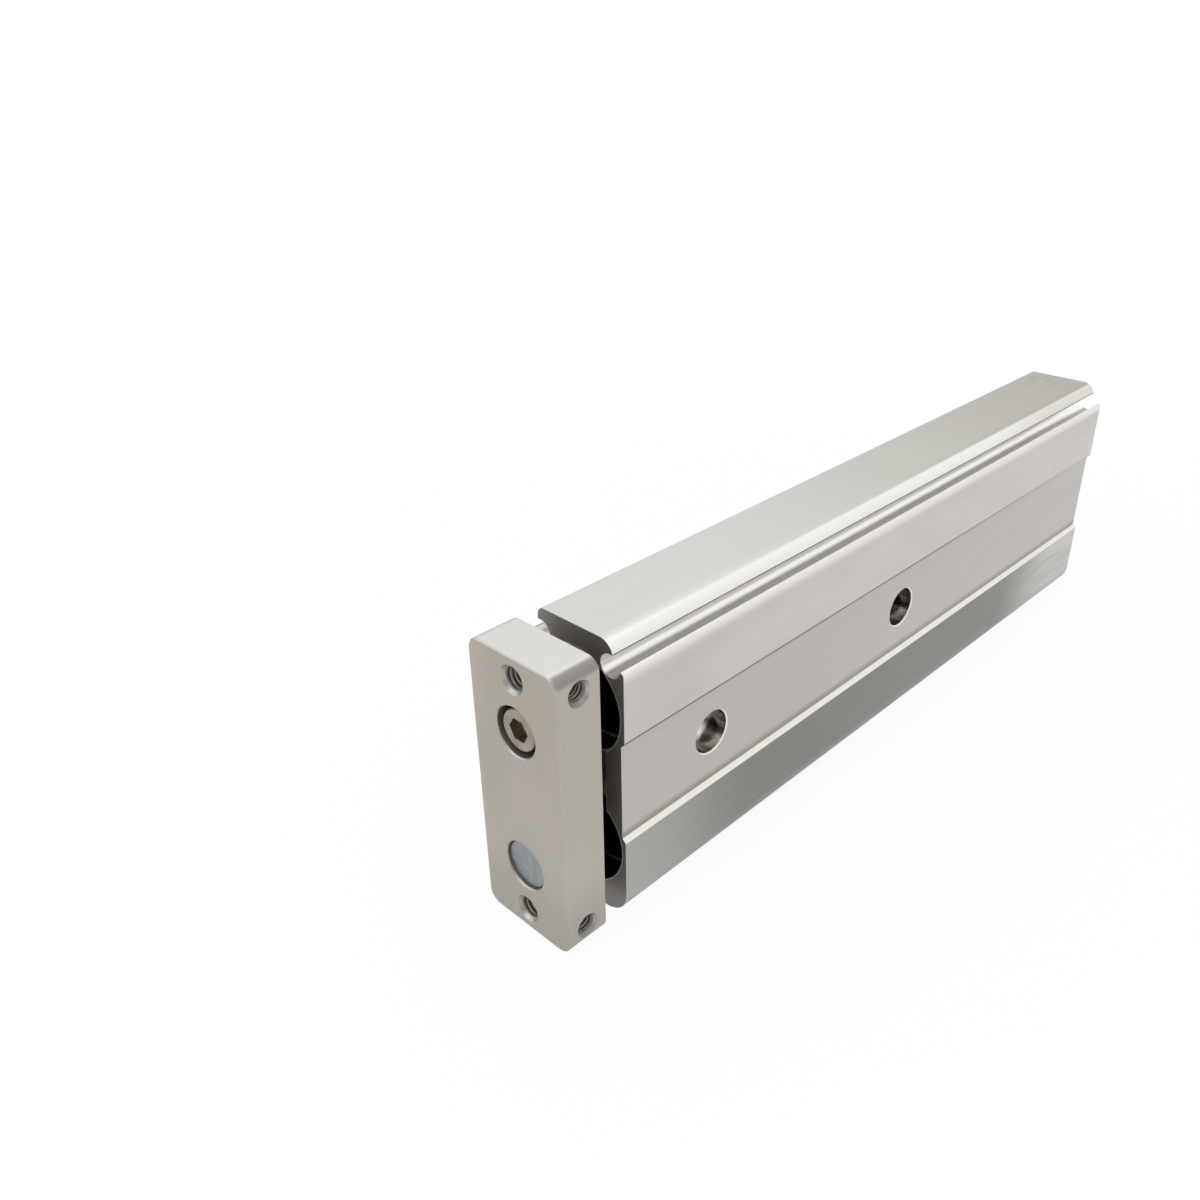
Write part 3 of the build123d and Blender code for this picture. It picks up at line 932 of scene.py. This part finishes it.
FINISHES: dict[str, Finish] = {finish.name: finish for finish in (
    HousingFinish(
        "anodised_housing", (204, 199, 195), (198, 193, 189), metallic=0.62, roughness=0.36,
        turn=Turn.ALONG, relief=0.0022, rounding=0.25, edge_wear_and_highlight=(240, 238, 233), wear_and_highlight=0.45),
    PlateFinish(
        "satin_plate", (175, 169, 160), (168, 162, 152), metallic=0.6, roughness=0.42, wander=0.05,
        relief=0.003, rounding=0.16, edge_wear_and_highlight=(236, 232, 224), wear_and_highlight=0.4),
    RodFinish(
        "chromed_rod", (205, 207, 210), (188, 190, 194), metallic=1.0, roughness=0.14, wander=0.04,
        turn=Turn.AROUND, relief=0.0006, rounding=0.1, wear_and_highlight=0.1),
    ScrewFinish(
        "nickel_steel", (162, 152, 139), (143, 133, 121), metallic=0.85, roughness=0.3,
        relief=0.002, wear_and_highlight=0.2),
    Finish(
        "dark_steel", (52, 48, 54), (34, 31, 34), metallic=0.7, roughness=0.34, relief=0.004,
        edge_wear_and_highlight=(120, 112, 112), wear_and_highlight=0.5),
    Finish(
        "urethane", (46, 42, 38), (34, 31, 28), metallic=0.0, roughness=0.55, relief=0.01, edge_wear_and_highlight=(74, 68, 60)),
    Finish(
        "dark_cover", (52, 51, 54), (38, 37, 40), metallic=0.55, roughness=0.4, turn=Turn.AROUND,
        relief=0.004, edge_wear_and_highlight=(110, 108, 106)),
    Finish(
        "head_cover_alloy", (176, 173, 168), (158, 155, 150), metallic=0.7, roughness=0.35, turn=Turn.AROUND,
        relief=0.006),
    Finish(
        "black_rubber", (26, 26, 27), (18, 18, 19), metallic=0.0, roughness=0.5, relief=0.006,
        edge_wear_and_highlight=(52, 52, 54)),
    Finish(
        "ring_steel", (78, 75, 72), (56, 53, 51), metallic=0.75, roughness=0.42, relief=0.006,
        edge_wear_and_highlight=(140, 136, 130), wear_and_highlight=0.5),
    Finish(
        "piston_alloy", (188, 182, 158), (166, 160, 136), metallic=0.6, roughness=0.38, turn=Turn.AROUND,
        relief=0.005),
    Finish(
        "magnet_compound", (46, 46, 49), (34, 34, 36), metallic=0.1, roughness=0.6, relief=0.012,
        edge_wear_and_highlight=(70, 70, 72)),
    Finish(
        "wear_resin", (72, 62, 50), (54, 46, 37), metallic=0.0, roughness=0.5, relief=0.008,
        edge_wear_and_highlight=(96, 86, 72)),
)}


class Palette:
    """Makes each finish once and hands out its material."""

    def __init__(self) -> None:
        """Starts with no material made."""
        self.made: dict[str, bpy.types.Material] = {}

    def get(self, slot: str) -> bpy.types.Material:
        """Gives the material of a slot, made on its first use.

        Args:
            slot: The material slot.

        Returns:
            The slot's material.
        """
        if slot not in self.made:
            self.made[slot] = FINISHES[slot].make()
        return self.made[slot]

    def dress(self, node: str, slot: str) -> None:
        """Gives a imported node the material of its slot.

        Args:
            node: The node's name.
            slot: The material slot.
        """
        mesh = frame["nodes"][node].data
        mesh.materials.clear()
        mesh.materials.append(self.get(slot))


@dataclass
class Thread:
    """The turns of a tapped hole, as one helical ridge along its wall, in millimetres.

    The ridge starts a little behind the wall. Its half widths are shares of the pitch.
    """

    name: str
    mouth: Triple
    inward: Triple
    core: float
    pitch: float
    depth: float
    rise: float = 0.32
    steps: int = 28
    behind: float = 0.03
    root_half: float = 0.42
    crest_half: float = 0.06

    def section(self, index: int, count: int) -> tuple[Pair, ...]:
        """Gives the ridge's section, which grows over the first turn and fades over the last.

        Args:
            index: The step along the ridge.
            count: The number of steps.

        Returns:
            Each corner's distance from the hole's axis and its place along it.
        """
        taper = min(1.0, index / self.steps, (count - index) / self.steps)
        root = self.core + self.behind
        crest = self.core - self.rise * taper
        return ((root, -self.root_half * self.pitch), (crest, -self.crest_half * self.pitch),
                (crest, self.crest_half * self.pitch), (root, self.root_half * self.pitch))

    def build(self) -> bpy.types.Object:
        """Sweeps the ridge down the hole.

        Returns:
            The new piece.
        """
        down = Vector(self.inward)
        side = down.orthogonal().normalized()
        across = down.cross(side)
        count = int(self.depth / self.pitch * self.steps)
        shape = bmesh.new()
        rings = []
        for index in range(count + 1):
            angle = 2 * math.pi * index / self.steps
            along = self.pitch * index / self.steps
            spoke = side * math.cos(angle) + across * math.sin(angle)
            rings.append([
                shape.verts.new((Vector(self.mouth) + spoke * reach + down * (along + drop)) * MILLIMETRE)
                for reach, drop in self.section(index, count)])
        for near, far in zip(rings, rings[1:]):
            for first in range(len(near)):
                second = (first + 1) % len(near)
                shape.faces.new((near[first], near[second], far[second], far[first]))
        shape.faces.new(rings[0])
        shape.faces.new(reversed(rings[-1]))
        bmesh.ops.recalc_face_normals(shape, faces=shape.faces)
        mesh = bpy.data.meshes.new(self.name)
        shape.to_mesh(mesh)
        shape.free()
        piece = bpy.data.objects.new(self.name, mesh)
        bpy.context.scene.collection.objects.link(piece)
        return piece


@dataclass
class Assembly:
    """A group of nodes and of pieces; the new pieces ride on one body."""

    title: str
    body: Body
    palette: Palette
    slots: dict[str, str]
    pieces: list[bpy.types.Object] = field(default_factory=list)

    def threads(self) -> list[Thread]:
        """Lists the threads that the assembly shows, none unless it has some."""
        return []

    def thread_slot(self) -> str:
        """Names the slot that the threads are finished in."""
        return next(iter(self.slots.values()))

    def build(self) -> None:
        """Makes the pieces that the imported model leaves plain."""
        for thread in self.threads():
            piece = thread.build()
            piece.data.materials.append(self.palette.get(self.thread_slot()))
            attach(piece, self.body.value)
            self.thread_slot()
            self.pieces.append(piece)

    def dress(self) -> None:
        """Gives every node of the assembly its finish."""
        for node, slot in self.slots.items():
            self.palette.dress(node, slot)

    def report(self) -> None:
        """Logs what the assembly holds."""
        for piece in self.pieces:
            log.info("%s: new piece %s on %s", self.title, piece.name, self.body.value)
        for node, slot in self.slots.items():
            log.info("%s: node %s in %s", self.title, node, slot)


@dataclass
class Housing(Assembly):
    """The extruded housing with its two air ports."""

    port_places: Pair = (-62.5, 109.85)
    port_face: float = 13.3
    port_height: float = SIZES.middle
    port_core: float = 4.28
    port_pitch: float = 0.907
    port_depth: float = 8.6
    port_sink: float = 0.8
    port_steps: int = 36

    def threads(self) -> list[Thread]:
        """Lists the threads of the two air ports, which stop short of both ends of their holes."""
        return [
            Thread(f"{end}_port_thread", (x, self.port_face - self.port_sink, self.port_height),
                   (0.0, -1.0, 0.0), self.port_core, self.port_pitch,
                   self.port_depth - 2 * self.port_sink, steps=self.port_steps)
            for end, x in zip(("front", "rear"), self.port_places)]


@dataclass
class EndPlate(Assembly):
    """The end plate with its tapped holes."""

    front: float = SIZES.plate_front
    thickness: float = SIZES.plate_thickness
    half_width: float = 13.5
    tap_heights: Pair = SIZES.tap_heights
    mouth_sink: float = 1.3
    tool_core: float = 2.5
    tool_pitch: float = 1.0
    bracket_core: float = 2.1
    bracket_pitch: float = 0.8
    bracket_depth: float = 8.6
    bracket_runout: float = 2.0

    def threads(self) -> list[Thread]:
        """Lists the threads of the two tool taps and the four bracket taps.

        Returns:
            The six threads, the lower three first.
        """
        threads = []
        for end, height in zip(("lower", "upper"), self.tap_heights):
            mouth = (self.front + self.mouth_sink, 0.0, height)
            threads.append(Thread(
                f"{end}_tool_tap_thread", mouth, (1.0, 0.0, 0.0),
                self.tool_core, self.tool_pitch, self.thickness - 2 * self.mouth_sink))
            for side, way in (("right", -1.0), ("left", 1.0)):
                mouth = (self.front + self.thickness / 2, way * (self.half_width - self.mouth_sink), height)
                threads.append(Thread(
                    f"{end}_{side}_tap_thread", mouth, (0.0, -way, 0.0),
                    self.bracket_core, self.bracket_pitch, self.bracket_depth - self.bracket_runout))
        return threads


@dataclass
class Lamp:
    """A soft lamp that looks at the part, with its place in metres and its power in watts."""

    name: str
    place: Triple
    size: float
    power: float
    colour: Rgb = (255, 252, 248)
    target: Triple = (0.0, 0.0, 0.036)

    def hang(self) -> None:
        """Hangs the lamp in the studio."""
        light = bpy.data.lights.new(self.name, "AREA")
        light.shape = "SQUARE"
        light.size = self.size
        light.energy = self.power
        light.color = linear(self.colour)[:3]
        lamp = bpy.data.objects.new(self.name, light)
        lamp.location = self.place
        aim = Vector(self.target) - Vector(self.place)
        lamp.rotation_euler = aim.to_track_quat("-Z", "Y").to_euler()
        bpy.context.scene.collection.objects.link(lamp)


@dataclass
class Studio:
    """The pale floor, the white surround, the lamps and the camera, with places in metres."""

    floor_half: float = 6.0
    floor_drop: float = 0.0004
    floor_colour: Rgb = (236, 236, 236)
    floor_roughness: float = 0.9
    floor_sheen: float = 0.1
    floor_glow: float = 0.93
    glow_near: float = 0.16
    glow_far: float = 0.45
    world_fill: float = 0.78
    lens: float = 32.597
    film: float = 36.0
    near_clip: float = 0.005
    camera_place: Triple = (-0.235693, -0.143884, 0.185143)
    camera_right: Triple = (0.708895, -0.704976, -0.021856)
    camera_up: Triple = (0.352077, 0.326843, 0.877049)
    camera_back: Triple = (-0.611155, -0.629431, 0.479903)
    lamps: tuple[Lamp, ...] = (
        Lamp("key", (-0.25, -0.35, 0.95), 0.9, 3.0),
        Lamp("top", (0.15, 0.25, 0.9), 0.9, 1.6),
        Lamp("fill", (-0.9, 0.1, 0.35), 0.7, 1.1, (250, 252, 255)),
    )

    def seen(self, tree: bpy.types.NodeTree) -> Socket:
        """Is 1 for rays that come from the camera, a mirror or glass.

        Args:
            tree: The node tree that asks.

        Returns:
            The mask.
        """
        path = tree.nodes.new("ShaderNodeLightPath")
        total: Socket = path.outputs["Is Camera Ray"]
        for name in ("Is Glossy Ray", "Is Transmission Ray"):
            add = tree.nodes.new("ShaderNodeMath")
            add.operation = "MAXIMUM"
            tree.links.new(total, add.inputs[0])
            tree.links.new(path.outputs[name], add.inputs[1])
            total = add.outputs[0]
        return total

    def glow_level(self, tree: bpy.types.NodeTree) -> Socket:
        """Tells how much of the floor's own glow is seen, all of it far from the part.

        Args:
            tree: The floor's node tree.

        Returns:
            The share of glow, 0 for rays that light the part.
        """
        spread = tree.nodes.new("ShaderNodeVectorMath")
        spread.operation = "LENGTH"
        tree.links.new(tree.nodes.new("ShaderNodeTexCoord").outputs["Object"], spread.inputs[0])
        level = tree.nodes.new("ShaderNodeMapRange")
        level.interpolation_type = "SMOOTHSTEP"
        for name, number in (("From Min", self.glow_near), ("From Max", self.glow_far),
                             ("To Min", self.floor_glow), ("To Max", 1.0)):
            level.inputs[name].default_value = number
        tree.links.new(spread.outputs["Value"], level.inputs["Value"])
        share = tree.nodes.new("ShaderNodeMath")
        share.operation = "MULTIPLY"
        tree.links.new(level.outputs["Result"], share.inputs[1])
        tree.links.new(self.seen(tree), share.inputs[0])
        return share.outputs[0]

    def floor_finish(self) -> bpy.types.Material:
        """Makes a matt pale floor, whose glow is seen but lights nothing.

        Returns:
            The floor's material.
        """
        material = bpy.data.materials.new("floor")
        material.use_nodes = True
        tree = material.node_tree
        shader = tree.nodes["Principled BSDF"]
        shader.inputs["Base Color"].default_value = linear(self.floor_colour)
        shader.inputs["Roughness"].default_value = self.floor_roughness
        shader.inputs["Specular IOR Level"].default_value = self.floor_sheen
        glow = tree.nodes.new("ShaderNodeEmission")
        glow.inputs["Color"].default_value = (1.0, 1.0, 1.0, 1.0)
        blend = tree.nodes.new("ShaderNodeMixShader")
        tree.links.new(self.glow_level(tree), blend.inputs[0])
        tree.links.new(shader.outputs[0], blend.inputs[1])
        tree.links.new(glow.outputs[0], blend.inputs[2])
        tree.links.new(blend.outputs[0], tree.nodes["Material Output"].inputs["Surface"])
        return material

    def lay_floor(self) -> None:
        """Lays the floor just under the part, out of the exported model."""
        half = self.floor_half
        mesh = bpy.data.meshes.new("floor")
        places = ((-half, -half), (half, -half), (half, half), (-half, half))
        mesh.from_pydata([(x, y, -self.floor_drop) for x, y in places], [], [(0, 1, 2, 3)])
        mesh.materials.append(self.floor_finish())
        floor = bpy.data.objects.new("floor", mesh)
        bpy.context.scene.collection.objects.link(floor)

    def paint_world(self) -> None:
        """Surrounds the part with white that lights it less than it shows."""
        world = bpy.data.worlds.new("surround")
        bpy.context.scene.world = world
        world.use_nodes = True
        tree = world.node_tree
        background = tree.nodes["Background"]
        background.inputs["Color"].default_value = (1.0, 1.0, 1.0, 1.0)
        level = tree.nodes.new("ShaderNodeMapRange")
        level.inputs["To Min"].default_value = self.world_fill
        level.inputs["To Max"].default_value = 1.0
        tree.links.new(self.seen(tree), level.inputs["Value"])
        tree.links.new(level.outputs["Result"], background.inputs["Strength"])

    def set_camera(self) -> None:
        """Puts the camera where the photograph was taken from."""
        data = bpy.data.cameras.new("camera")
        data.sensor_width = self.film
        data.lens = self.lens
        data.clip_start = self.near_clip
        camera = bpy.data.objects.new("camera", data)
        turn = Matrix((self.camera_right, self.camera_up, self.camera_back)).transposed()
        camera.matrix_world = Matrix.Translation(self.camera_place) @ turn.to_4x4()
        bpy.context.scene.collection.objects.link(camera)
        bpy.context.scene.camera = camera

    def build(self) -> None:
        """Sets up the whole studio."""
        bpy.context.scene.view_settings.view_transform = "Standard"
        self.lay_floor()
        self.paint_world()
        for lamp in self.lamps:
            lamp.hang()
        self.set_camera()
        log.info("studio: floor, surround, %d lamps and camera", len(self.lamps))


def pick(words: tuple[str, ...]) -> dict[str, str]:
    """Finds the nodes whose names hold one of these words.

    Args:
        words: Parts of node names.

    Returns:
        Each node with its material slot.
    """
    rows = frame["record"]["subparts"]
    return {row["node"]: row["material_slot"] for row in rows if any(word in row["node"] for word in words)}


def main() -> None:
    """Builds the studio and the assemblies in order and reports each piece."""
    logging.basicConfig(level=logging.INFO, format="%(name)s %(message)s")
    Studio().build()
    palette = Palette()
    assemblies = (
        Housing("housing", Body.HOUSING, palette, pick(("housing",))),
        Assembly("covers", Body.HOUSING, palette, pick(("cover", "rod_seal", "retaining_ring"))),
        Assembly("stop bolt", Body.HOUSING, palette, pick(("stop_",))),
        EndPlate("end plate", Body.RODS, palette, pick(("end_plate",))),
        Assembly("plate screws", Body.RODS, palette, pick(("cap_screw", "set_screw"))),
        Assembly("rods", Body.RODS, palette, {f"{side}_rod": "chromed_rod" for side in ("upper", "lower")}),
        Assembly("pistons", Body.RODS, palette, pick(("piston", "wear_ring", "bumper"))),
    )
    for assembly in assemblies:
        assembly.build()
        assembly.dress()
        assembly.report()


if __name__ == "__main__":
    main()
